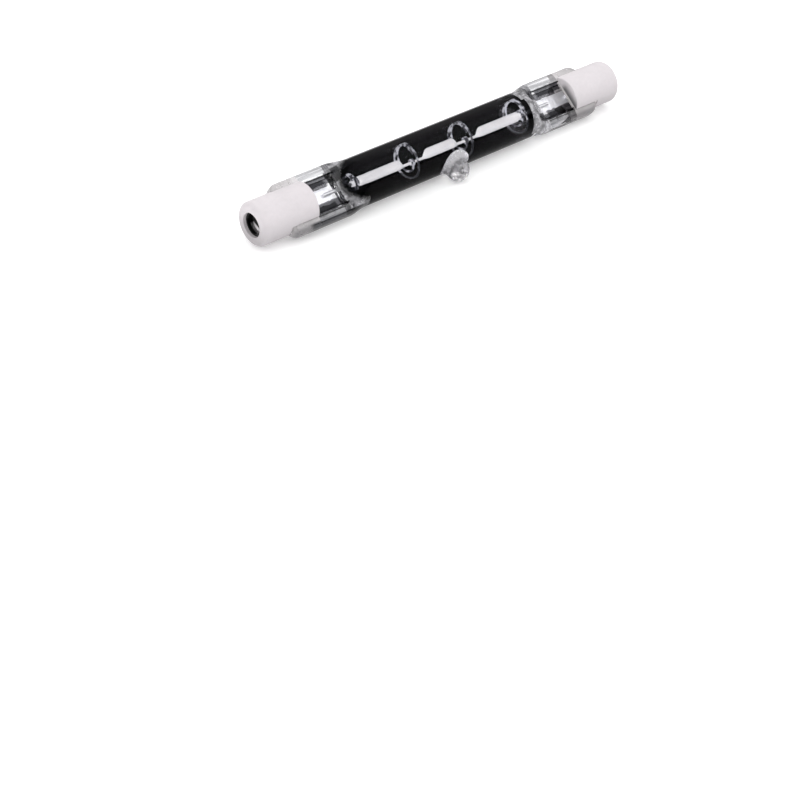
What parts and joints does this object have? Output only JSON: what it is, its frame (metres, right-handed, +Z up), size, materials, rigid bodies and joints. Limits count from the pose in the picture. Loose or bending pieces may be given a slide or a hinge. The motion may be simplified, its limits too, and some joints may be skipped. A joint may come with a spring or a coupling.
{
  "type": "linear halogen bulb",
  "caption": "Double-ended linear halogen bulb: clear quartz tube with pinched ends, ceramic caps with recessed contacts, coiled filament on wire supports and a sealed exhaust nub.",
  "frame": {"origin": "middle of the outline seen from above, on the surface that the bulb lies on", "axes": "+X along the bulb from its left to its right cap, +Z up, the exhaust nub towards -Y and down"},
  "size_m": [0.0782, 0.0106, 0.0082],
  "materials": {
    "quartz": "clear, fire-polished",
    "ceramic": "matte",
    "cement": "rough",
    "contact_metal": "satin",
    "lead_metal": "drawn wire",
    "foil_metal": "bright rolled foil",
    "filament_wire": "bright wound wire",
    "support_wire": "drawn wire"
  },
  "bodies": {
    "root": {"quartz_envelope": "quartz", "left_ceramic_cap": "ceramic", "right_ceramic_cap": "ceramic", "left_cement": "cement", "right_cement": "cement", "left_contact": "contact_metal", "right_contact": "contact_metal", "left_outer_lead": "lead_metal", "right_outer_lead": "lead_metal", "left_inner_lead": "lead_metal", "right_inner_lead": "lead_metal", "left_foil": "foil_metal", "right_foil": "foil_metal", "filament": "filament_wire", "left_end_support": "support_wire", "left_middle_support": "support_wire", "right_middle_support": "support_wire", "right_end_support": "support_wire"}
  },
  "joints": []
}
